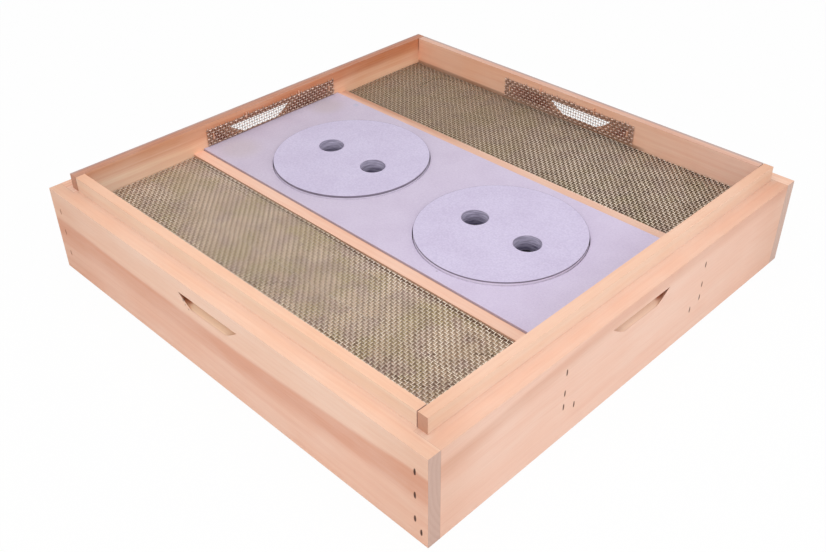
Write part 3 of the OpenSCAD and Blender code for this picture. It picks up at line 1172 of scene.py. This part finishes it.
    def bed(self) -> bpy.types.Object:
        """Heap the body of the fill: a closed, uneven mass that settles against the bay's sides.

        Returns:
            The mass of fill.
        """
        low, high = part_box(f"{self.side.label}_fill")
        size, middle = (high - low) / MM, (high + low) / 2 / MM
        bm = bmesh.new()
        bmesh.ops.create_cube(bm, size=1.0)
        for axis, cuts in enumerate(self.bed_cuts):
            way = Vector((0, 0, 0))
            way[axis] = 1.0
            for cut in range(1, cuts):
                bmesh.ops.bisect_plane(bm, geom=whole(bm), plane_co=way * (cut / cuts - 0.5), plane_no=way)
        for vert in bm.verts:
            vert.co = self._heaped(vert.co.copy(), size, middle)
        bmesh.ops.smooth_vert(bm, verts=bm.verts[:], factor=0.3, use_axis_x=True, use_axis_y=True,
                              use_axis_z=True)
        bmesh.ops.scale(bm, verts=bm.verts[:], vec=(MM, MM, MM))
        bmesh.ops.recalc_face_normals(bm, faces=bm.faces[:])
        piece = placed(f"{self.side.label}_straw_bed", bm, self.bed_tone)
        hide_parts(f"{self.side.label}_fill")
        return piece

    def _heaped(self, share: Vector, size: Vector, middle: Vector) -> Vector:
        """Where a point of the unit cube comes to lie in the heap.

        Args:
            share: the point in the cube.
            size: the size of the fill.
            middle: its middle.

        Returns:
            The point's place in mm.
        """
        outmost = 0.49
        point = Vector((share.x * (size.x - 0.4), share.y * (size.y - 1.2), 0)) + middle
        seat = Vector((point.x, point.y, share.z * 40))
        lump = noise.noise(seat * 0.045) * 0.7 + noise.noise(seat * 0.14) * 0.5
        if share.z > outmost:
            point.x += math.copysign(1.8, share.x) if abs(share.x) > outmost else 0.0
            point.z = self.bed_high - 0.5 + lump + self.rest(abs(point.x), point.y) + self._heap(point.y)
        elif share.z < -outmost:
            point.z = self.bed_low + 0.9 - abs(lump) * 0.5
        else:
            point.z = self.bed_low + (share.z + 0.5) * (self.bed_high - self.bed_low - 2.0)
            point.x -= math.copysign(0.4 + abs(lump), share.x) if abs(share.x) > outmost else 0.0
            point.y -= math.copysign(0.4 + abs(lump), share.y) if abs(share.y) > outmost else 0.0
        return point

    def litter(self) -> bpy.types.Object:
        """Scatter the stalks that show through the cloth, above and below.

        Returns:
            The stalks, as one piece.
        """
        chance = random.Random(self.seed + self.side.value)
        patterns = [self._stalk_pattern(bend) for bend in self.stalk_bends]
        bm = bmesh.new()
        tone = bm.verts.layers.float.new("tone")
        for number in range(self.stalks + self.floor_stalks):
            pose = self._stalk_pose(chance, number < self.stalks)
            have = len(bm.verts)
            bm.from_mesh(chance.choice(patterns))
            bm.verts.ensure_lookup_table()
            fresh = bm.verts[have:]
            bmesh.ops.transform(bm, matrix=pose, verts=fresh)
            level = chance.random()
            for vert in fresh:
                vert[tone] = level
        for pattern in patterns:
            bpy.data.meshes.remove(pattern)
        return placed(f"{self.side.label}_straw", bm, self.stalk_tone, smooth=False)

    def _stalk_pose(self, chance: random.Random, above: bool) -> Matrix:
        """Choose a stalk's size and where it lies, clear of the bay's sides.

        Args:
            chance: the draws.
            above: whether it lies under the top cloth, and not on the floor cloth.

        Returns:
            The matrix that takes a unit stalk there, in metres.
        """
        length = chance.uniform(*self.stalk_length)
        heading = chance.uniform(0, math.tau)
        clear_x = abs(math.cos(heading)) * length / 2 + self.stalk_clear
        clear_y = abs(math.sin(heading)) * length / 2 + self.stalk_clear
        across = chance.uniform(self.near + clear_x, self.far - clear_x)
        along = chance.uniform(clear_y - self.reach, self.reach - clear_y)
        if above:
            height = self.bed_high - 0.4 + chance.uniform(-0.7, 1.0) + self.rest(across, along)
        else:
            height = self.bed_low - 0.2 + chance.uniform(0.0, 1.2)
        tilt = Matrix.Rotation(chance.uniform(-0.03, 0.03), 4, "Y")
        roll = Matrix.Rotation(chance.uniform(-0.6, 0.6), 4, "X")
        width, thick = chance.uniform(*self.stalk_width), chance.uniform(*self.stalk_thick)
        size = Matrix.Diagonal((length * MM, width * MM, thick * MM, 1))
        place = Matrix.Translation(Vector((self.side.value * across, along, height)) * MM)
        return place @ Matrix.Rotation(heading, 4, "Z") @ tilt @ roll @ size

    @staticmethod
    def _stalk_pattern(bend: float) -> bpy.types.Mesh:
        """Make one stalk of unit length: a flattened, tapered and slightly bent rod.

        Args:
            bend: how far its middle stands off, as a share of its length.

        Returns:
            The stalk's mesh.
        """
        parts = 3
        bm = bmesh.new()
        start = Matrix.Translation((-0.5, 0, 0)) @ Matrix.Rotation(math.pi / 2, 4, "Y")
        bmesh.ops.create_circle(bm, cap_ends=True, segments=5, radius=0.5, matrix=start)
        end = bm.faces[:]
        for _ in range(parts):
            end = drawn_on(bm, end, Vector((1 / parts, 0, 0)))
        for vert in bm.verts:
            slim = 1.0 if abs(vert.co.x) < 0.4 else 0.62
            vert.co.y = vert.co.y * slim + bend * 20 * (0.25 - vert.co.x ** 2)
            vert.co.z *= slim
        bmesh.ops.recalc_face_normals(bm, faces=bm.faces[:])
        mesh = bpy.data.meshes.new("stalk_pattern")
        bm.to_mesh(mesh)
        bm.free()
        return mesh

    def stem(self) -> bpy.types.Object:
        """Lay the bent dark stem that shows under the right cloth near the back corner.

        Returns:
            The stem.
        """
        route = [Vector((*point, self.bed_high + self.stem_lift)) for point in self.stem_route]
        bm = bmesh.new()
        ring = bmesh.ops.create_circle(bm, cap_ends=True, segments=6, radius=1.0,
                                       matrix=Matrix.Rotation(math.pi / 2, 4, "Y"))["verts"]
        bmesh.ops.translate(bm, verts=ring, vec=route[0])
        end = bm.faces[:]
        for here, there in zip(route, route[1:]):
            end = drawn_on(bm, end, there - here)
        bmesh.ops.scale(bm, verts=bm.verts[:], vec=(MM * self.side.value, MM, MM))
        bmesh.ops.recalc_face_normals(bm, faces=bm.faces[:])
        return placed(f"{self.side.label}_stem", bm, self.stem_tone)

    def build(self) -> list[str]:
        """Make the bay's pieces.

        Returns:
            Their names.
        """
        pieces = [self.top_cloth(), self.floor_cloth(), self.bed(), self.litter()]
        if self.stem_tone:
            pieces.append(self.stem())
        return [piece.name for piece in pieces]


class Wall(Enum):
    """The four walls: which axis their inner face looks along, and on which side they stand."""

    LEFT = ("x", -1)
    RIGHT = ("x", 1)
    FRONT = ("y", -1)
    BACK = ("y", 1)

    @property
    def label(self) -> str:
        """The wall's name, as the nodes have it."""
        return self.name.lower()


@dataclass
class VentScreen:
    """A strip of wire cloth over a vent, against the wall's inner face. Lengths are in mm."""

    wall: Wall
    metal: WireMetal
    low: float
    high: float = 97.4
    width: float = 172.0
    inner: float = 222.0
    stand_off: float = 0.95
    bow: float = 0.45
    stray: float = 0.35
    sway: float = 0.5
    rows: int = 6
    columns: int = 53
    wire: float = 0.64
    snipped: Pair = (0.4, 2.6)
    tip_lean: float = 0.5
    seed: int = 11

    def build(self) -> list[str]:
        """Weave the strip, with the ragged ends that snips leave along its upper edge.

        Returns:
            The piece's name.
        """
        axis, way = self.wall.value
        chance = random.Random(f"{self.seed}{self.wall.name}")
        pitch = self.width / self.columns
        ends = [chance.uniform(*self.snipped) for _ in range(self.columns + 2)]
        leans = [chance.uniform(-self.tip_lean, self.tip_lean) for _ in range(self.columns + 2)]
        tall = self.high - self.low
        tip_run = tall / self.rows / 2 + 0.4
        cloth = WovenCloth(self.width, tall, self.columns, self.rows, wire=self.wire, sides=6, steps=4,
                           long_gleam=0.0)

        def place(point: Vector) -> Vector:
            """Stand a point of the flat strip against the wall."""
            column = min(self.columns, max(0, int((point.x + self.width / 2) / pitch)))
            tip = max(0.0, (point.y - (tall / 2 - tip_run)) / tip_run)
            bow = self.bow * noise.noise(Vector((point.x * 0.05, point.y * 0.06, self.seed))) + self.bow
            stray = self.stray * noise.noise(Vector((point.x * 0.11, point.y * 0.2, 2.0)))
            sway = self.sway * noise.noise(Vector((point.x * 0.03, 0.0, 5.0)))
            along = point.x + stray + tip * leans[column]
            out = way * (self.inner - self.stand_off - bow * 0.5 - point.z)
            height = (self.low + self.high) / 2 + point.y + tip * (ends[column] - 0.8) + sway
            return Vector((out, along, height) if axis == "x" else (along, out, height))

        piece = placed(f"{self.wall.label}_vent_cloth", cloth.shaped(place), self.metal)
        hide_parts(f"{self.wall.label}_vent_screen")
        return [piece.name]


def wall_boards() -> dict[str, PineBoard]:
    """The four walls' boards, as they differ.

    Returns:
        Each wall's board, by its node.
    """
    left_shade, front_shade = tint(226, 178, 146), tint(228, 180, 148)
    splinter = (Mark((-247.2, 27.6, 63.4), 1.2, tint(150, 104, 76), 0.8),
                Mark((-246.8, 31.4, 66.4), 1.4, tint(132, 88, 62), 0.8),
                Mark((-246.4, 33.8, 69.8), 2.2, tint(96, 58, 38), 0.8))
    return {
        "left_wall": PineBoard(
            "left_wall_pine", Run.ALONG_Y, face=tint(243, 205, 182), band=tint(224, 167, 141),
            band_foot=tint(239, 194, 171), planed=tint(243, 202, 177), lip=tint(244, 212, 187),
            lip_top=tint(249, 202, 172), inside=left_shade, end=tint(206, 174, 160), pith=(-150.0, 70.0),
            band_line=((-225.0, 69.5), (-190.0, 65.0), (-150.0, 61.6), (-110.0, 59.0), (-40.0, 56.6),
                       (110.0, 56.2), (225.0, 57.8)),
            lip_end_at=221.2, far_tone=0.8, end_shade=0.45, ring_share=0.10, streak_share=0.11,
            seed=1.3, marks=splinter),
        "right_wall": PineBoard(
            "right_wall_pine", Run.ALONG_Y, face=tint(240, 204, 181), band=tint(228, 180, 154),
            band_foot=tint(232, 190, 166), planed=tint(246, 204, 180), lip=tint(246, 206, 182),
            lip_top=tint(228, 184, 164), inside=tint(249, 197, 165), end=tint(210, 180, 166),
            inside_end=tint(255, 215, 194), pith=(140.0, 30.0), outer=247.5,
            # The right wall's inner face takes painted shade at its foot.
            band_line=((-225.0, 30.0), (225.0, 44.0)), lip_end_at=221.2, arris=0.7, foot_share=0.6,
            seed=4.9),
        "front_wall": PineBoard(
            "front_wall_pine", Run.ALONG_X, face=tint(245, 205, 185), band=tint(232, 184, 161),
            band_foot=tint(245, 205, 185), planed=tint(239, 197, 174), lip=tint(247, 214, 190),
            lip_top=tint(247, 203, 176), inside=front_shade, end=tint(200, 152, 128),
            # The front wall's saw cut has its own painted light on its floor.
            slot_floor=tint(255, 216, 190), pith=(-165.0, 40.0), end_at=235.5,
            band_line=((-225.0, 75.0), (-190.0, 77.0), (-150.0, 81.0), (-120.0, 83.0), (-70.0, 86.5),
                       (0.0, 92.0), (230.0, 93.0)),
            band_run=(7.0, 20.0), far_tone=0.8, end_shade=0.6, ring_share=0.05, streak_share=0.07,
            seed=8.2),
        "back_wall": PineBoard(
            "back_wall_pine", Run.ALONG_X, face=tint(240, 204, 180), band=tint(228, 180, 154),
            band_foot=tint(234, 194, 170), planed=tint(244, 202, 178), lip=tint(244, 204, 180),
            lip_top=tint(198, 143, 118), inside=tint(255, 208, 173), end=tint(190, 140, 116),
            inside_top=tint(215, 143, 101), inside_end=tint(255, 230, 206), pith=(150.0, 60.0),
            outer=247.5, end_at=235.5, band_line=((-225.0, 60.0), (225.0, 40.0)), arris=0.5,
            ring_share=0.28, streak_share=0.28, heart=(82.0, 100.0), heart_lean=0.0165, seed=12.4),
    }


@dataclass
class BoxWalls:
    """The four walls, each a board of its own, and where the staples sit in them. Lengths are in mm."""

    corner_in: float = 234.75
    corner_rows: Triple = (68.0, 45.0, 21.0)
    low_in: float = 240.8
    low_row: float = 11.0
    divider_in: float = 97.5
    divider_rows: Triple = (68.7, 47.5, 33.3)
    ledger_in: float = 83.5
    ledger_row: float = 27.0
    dent_tall: float = 2.3
    # How much painted shadow the vent screens cast on the walls' inner faces.
    screen_shade: float = 0.62
    boards: dict[str, PineBoard] = field(default_factory=wall_boards)

    def build(self) -> list[str]:
        """Dress the walls.

        Returns:
            Their names.
        """
        names = []
        for node, board in self.boards.items():
            # lipped gives each wall the painted glow at its lip's foot.
            finished = replace(board, marks=board.marks + self._dents(board), lipped=True,
                               screen_shade=self.screen_shade)
            names.append(dress(node, finished))
        return names

    def _dents(self, board: PineBoard) -> tuple[Mark, ...]:
        """The dark dents around the staples in a board's outer face.

        Args:
            board: the wall's board.

        Returns:
            A mark for each staple.
        """
        if board.run is Run.ALONG_Y:
            places = [(way * self.corner_in, z) for way in (-1, 1) for z in self.corner_rows]
            places.append((math.copysign(self.low_in, board.outer), self.low_row))
            return tuple(Mark((board.outer, along, z), 1.7, tint(96, 56, 40), 0.8 if along < 0 else 0.35,
                              0.5, self.dent_tall) for along, z in places)
        places = [(way * self.divider_in, z) for way in (-1, 1) for z in self.divider_rows]
        places += [(way * self.ledger_in, self.ledger_row) for way in (-1, 1)]
        return tuple(Mark((along, board.outer, z), 1.6, tint(132, 94, 74), 0.6, 0.6, self.dent_tall)
                     for along, z in places)


@dataclass
class FeedDeck:
    """Dividers, ledgers, feed panel and the two plugs. Lengths are in mm."""

    divider_out: float = 103.5
    divider_thick: float = 12.0
    ledger_out: float = 91.5
    ledger_thick: float = 16.0
    panel_high: float = 78.8
    panel_low: float = 66.1
    panel_half: float = 91.2
    plug_high: float = 81.9
    plug_low: float = 66.4
    plug_middle: float = 97.8
    plug_radius: float = 78.0
    opening_radius: float = 78.8
    bore_radius: float = 12.7
    bore_step: float = 30.5

    def build(self) -> list[str]:
        """Dress the deck.

        Returns:
            The names of its pieces.
        """
        names = []
        for side in Side:
            names.append(dress(f"{side.label}_divider", self._divider(side)))
            names.append(dress(f"{side.label}_ledger", self._ledger(side)))
        names.append(dress("feed_panel", self._panel()))
        names.append(dress("front_plug", self._plug("front", -1)))
        names.append(dress("back_plug", self._plug("back", 1)))
        return names

    def _divider(self, side: Side) -> PineBoard:
        """A divider's finish, with painted shade: a line at the panel on the left, and a dark verge on the
        right.

        Args:
            side: the divider's side.

        Returns:
            The finish.
        """
        way, left = side.value, side is Side.LEFT
        top = tint(246, 201, 177) if left else tint(237, 195, 173)
        # The right divider's outer face is painted dark brown: painted shade where the cloth's edge turns
        # down beside it.
        face = tint(215, 172, 146) if left else tint(136, 100, 80)
        inside = tint(206, 166, 138)
        return PineBoard(
            f"{side.label}_divider_pine", Run.ALONG_Y, face=face, band=face, band_foot=inside, planed=top,
            lip=top, lip_top=top, inside=inside, end=tint(204, 164, 140), pith=(way * 160.0, 20.0),
            outer=way * self.divider_out, thick=self.divider_thick, ledge=76.8, top=90.0, end_at=234.0,
            lip_end_at=234.0, streak_share=0.10, seam=0.35 if left else 0.0,
            top_shade=0.0 if left else 0.9, seed=20.0 + way)

    def _ledger(self, side: Side) -> PineBoard:
        """A ledger's finish.

        Args:
            side: the ledger's side.

        Returns:
            The finish.
        """
        way, pale, planed = side.value, tint(230, 190, 162), tint(234, 196, 166)
        return PineBoard(
            f"{side.label}_ledger_pine", Run.ALONG_Y, face=pale, band=pale, band_foot=tint(222, 178, 148),
            planed=planed, lip=planed, lip_top=pale, inside=pale, end=tint(204, 164, 140),
            pith=(way * 120.0, 10.0), outer=way * self.ledger_out, thick=self.ledger_thick, ledge=66.0,
            top=80.0, end_at=222.0, lip_end_at=222.0, seed=31.0 + way)

    def _panel(self) -> FibreSheet:
        """The panel's finish, with the smudges on its far end.

        Returns:
            The finish.
        """
        high = self.panel_high
        return FibreSheet(
            "panel_fibreboard", face=tint(219, 207, 231), far_face=tint(207, 195, 213),
            edge=tint(150, 144, 152), deep_edge=tint(84, 78, 86), bore=tint(212, 202, 224),
            deep_bore=tint(140, 132, 146),
            bores=tuple((0.0, way * self.plug_middle, self.opening_radius) for way in (-1, 1)),
            low=self.panel_low, high=high, pebble=2.6, pebble_share=0.30, seam_at=self.panel_half,
            marks=(Mark((83.8, 183.0, high), 4.5, tint(178, 184, 206), 0.5),
                   Mark((-81.2, -97.0, high), 1.4, tint(168, 156, 172), 0.6),
                   Mark((60.0, 205.0, high), 26.0, tint(196, 182, 188), 0.6),
                   Mark((-66.0, 196.0, high), 30.0, tint(200, 186, 190), 0.5)))

    def _plug(self, name: str, way: int) -> FibreSheet:
        """A plug's finish.

        Args:
            name: which plug it is.
            way: -1 for the front one, 1 for the back one.

        Returns:
            The finish.
        """
        middle = way * self.plug_middle
        return FibreSheet(
            f"{name}_plug_fibreboard", face=tint(218, 208, 234), far_face=tint(212, 203, 227),
            edge=tint(140, 131, 146), deep_edge=tint(108, 100, 114), bore=tint(216, 208, 232),
            deep_bore=tint(118, 110, 138),
            bores=tuple((0.0, middle + step * self.bore_step, self.bore_radius) for step in (-1, 1)),
            low=self.plug_low, high=self.plug_high, pebble=2.0, pebble_share=0.7,
            rim=(0.0, middle, self.plug_radius), rim_line=1.3 if way < 0 else 2.2)


@dataclass
class Fasteners:
    """The staples that hold the box and its screens."""

    joint_steel: StapleSteel = StapleSteel("joint_staple_steel", tint(74, 52, 46), tint(62, 38, 30),
                                           far_left=tint(190, 140, 115))
    screen_steel: StapleSteel = StapleSteel("screen_staple_zinc", tint(196, 180, 164), tint(150, 126, 108))
    vent_steel: StapleSteel = StapleSteel("vent_staple_steel", tint(230, 178, 148), tint(222, 168, 138),
                                          metal=0.1)

    def build(self) -> list[str]:
        """Dress the staples.

        Returns:
            The names of their nodes.
        """
        steels = (self.joint_steel, self.screen_steel, self.vent_steel)
        joint, screen, vent = (steel.material() for steel in steels)
        special = {"vent_screen_staples": vent, "top_screen_staples": screen, "floor_screen_staples": screen}
        nodes = [node for node in sorted(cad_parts) if node.endswith("_staples")]
        return [dress(node, special.get(node, joint)) for node in nodes]


@dataclass
class Studio:
    """Camera, floor and soft light. Lengths are in metres."""

    camera_at: Triple = (-0.5671, -0.5552, 0.5588)
    forward: Triple = (0.5717, 0.5726, -0.5876)
    right: Triple = (0.7035, -0.7107, -0.0081)
    lens: float = 42.62
    sensor: float = 36.0
    clip_from: float = 0.01
    aim: Triple = (0.0, 0.0, 0.05)
    ambient: float = 0.42
    footprint: float = 0.246
    floor_half: float = 12.0
    floor_drop: float = 0.0002
    paper: Colour = (0.86, 0.86, 0.86, 1.0)
    white: Colour = (1.0, 1.0, 1.0, 1.0)
    floor_glow: float = 0.965

    def build(self) -> list[str]:
        """Make the studio.

        Returns:
            The name of the floor.
        """
        bpy.context.scene.view_settings.view_transform = "Standard"
        self._camera()
        self._light("overhead", (-0.2, -0.1, 1.9), 2.4, 22.0)
        self._light("left_front", (-2.0, -0.5, 0.9), 1.6, 12.5)
        self._light("right_front", (0.3, -2.1, 0.9), 1.6, 12.5)
        self._world()
        return [self._floor()]

    def _camera(self) -> None:
        """Stand the camera where the photograph was taken from."""
        data = bpy.data.cameras.new("view")
        data.lens, data.sensor_width, data.clip_start = self.lens, self.sensor, self.clip_from
        ahead = Vector(self.forward).normalized()
        side = Vector(self.right)
        side = (side - ahead * side.dot(ahead)).normalized()
        camera = bpy.data.objects.new("view", data)
        turn = Matrix((side, side.cross(ahead), -ahead)).transposed().to_4x4()
        camera.matrix_world = Matrix.Translation(self.camera_at) @ turn
        bpy.context.scene.collection.objects.link(camera)
        bpy.context.scene.camera = camera

    def _light(self, name: str, at: Triple, size: float, power: float) -> None:
        """Hang one soft square lamp, which points at the box.

        Args:
            name: the lamp's name.
            at: its place.
            size: its side.
            power: its power in watts.
        """
        data = bpy.data.lights.new(name, "AREA")
        data.shape, data.size, data.energy = "SQUARE", size, power
        lamp = bpy.data.objects.new(name, data)
        lamp.location = at
        lamp.rotation_euler = (Vector(self.aim) - Vector(at)).to_track_quat("-Z", "Y").to_euler()
        bpy.context.scene.collection.objects.link(lamp)

    @staticmethod
    def _seen(paint: Paint) -> Term:
        """1 where the camera, a mirror or a glass looks straight at the surface."""
        ray = paint.node("ShaderNodeLightPath", output="Is Camera Ray")
        return paint.larger(ray, paint.larger(ray.out("Is Glossy Ray"), ray.out("Is Transmission Ray")))

    def _world(self) -> None:
        """Even light from all round, in front of a white background."""
        world = bpy.data.worlds.new("studio")
        world.use_nodes = True
        paint = Paint(world.node_tree)
        strength = self._seen(paint) * (1 - self.ambient) + self.ambient
        shader = paint.node("ShaderNodeBackground", inputs={"Color": self.white, "Strength": strength})
        paint.node("ShaderNodeOutputWorld", inputs={"Surface": shader})
        bpy.context.scene.world = world

    def _floor(self) -> str:
        """Lay a pale floor that looks white and still takes a faint shadow.

        Returns:
            The floor's name.
        """
        bm = bmesh.new()
        bmesh.ops.create_grid(bm, x_segments=1, y_segments=1, size=self.floor_half)
        bmesh.ops.translate(bm, verts=bm.verts[:], vec=(0, 0, -self.floor_drop))
        material = bpy.data.materials.new("floor_white")
        paint = Paint.of(material)
        x, y, _ = paint.axes(paint.place())
        outside = paint.larger(abs(x), abs(y)).rise(self.footprint - 0.004, self.footprint)
        paper = paint.node("ShaderNodeBsdfDiffuse", inputs={"Color": self.paper})
        glow = paint.node("ShaderNodeEmission", inputs={"Color": self.white, "Strength": 1.0})
        share = self._seen(paint) * outside * self.floor_glow
        shader = paint.node("ShaderNodeMixShader", inputs={0: share, 1: paper, 2: glow})
        paint.node("ShaderNodeOutputMaterial", inputs={"Surface": shader})
        floor = shown("floor", bm, material)
        return floor.name


def screened_bays() -> list[ScreenedBay]:
    """The two side bays: pale straw under bright cloth on the left, darker and silted on the right.

    Returns:
        The left bay and the right bay.
    """
    under = WireMetal("floor_cloth_zinc", tint(206, 198, 186), tint(168, 156, 144), tint(120, 104, 92))
    left = ScreenedBay(
        Side.LEFT,
        WireMetal("left_cloth_zinc", tint(252, 240, 225), tint(228, 211, 194), tint(160, 140, 123),
                  dust=0.28, silt=0.2, silted=tint(190, 170, 154)),
        under,
        StrawTone("left_straw_bed", tint(216, 190, 163), tint(192, 174, 130), tint(194, 166, 158),
                  tint(118, 96, 76)),
        StrawTone("left_straw", tint(222, 198, 172), tint(200, 182, 138), tint(198, 172, 164),
                  tint(124, 102, 80), carries_tone=True))
    right = ScreenedBay(
        Side.RIGHT,
        WireMetal("right_cloth_zinc", tint(246, 232, 216), tint(216, 198, 182), tint(112, 92, 80),
                  dust=0.25, silt=0.88),
        under,
        StrawTone("right_straw_bed", tint(176, 150, 125), tint(158, 140, 102), tint(158, 132, 122),
                  tint(92, 72, 56)),
        StrawTone("right_straw", tint(186, 160, 135), tint(166, 148, 108), tint(164, 136, 128),
                  tint(96, 76, 60), carries_tone=True),
        StrawTone("dark_stem", tint(104, 92, 54), tint(92, 84, 46), tint(96, 78, 56), tint(64, 52, 34)))
    return [left, right]


def vent_screens() -> list[VentScreen]:
    """The strips over the four vents; those of the side walls reach lower.

    Returns:
        The strips, by wall.
    """
    zinc = WireMetal("vent_cloth_zinc", tint(252, 230, 216), tint(212, 186, 172), tint(138, 106, 90))
    side_strips = [VentScreen(wall, zinc, low=75.6, rows=7) for wall in (Wall.LEFT, Wall.RIGHT)]
    return side_strips + [VentScreen(wall, zinc, low=79.4) for wall in (Wall.FRONT, Wall.BACK)]


def main() -> None:
    """Build every sub-assembly in order, and report each piece."""
    logging.basicConfig(level=logging.INFO, format="%(message)s")
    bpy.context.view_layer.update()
    for group in [Studio(), BoxWalls(), FeedDeck(), Fasteners(), *screened_bays(), *vent_screens()]:
        for name in group.build():
            log.info("%s: %s", type(group).__name__, name)


if __name__ == "__main__":
    main()
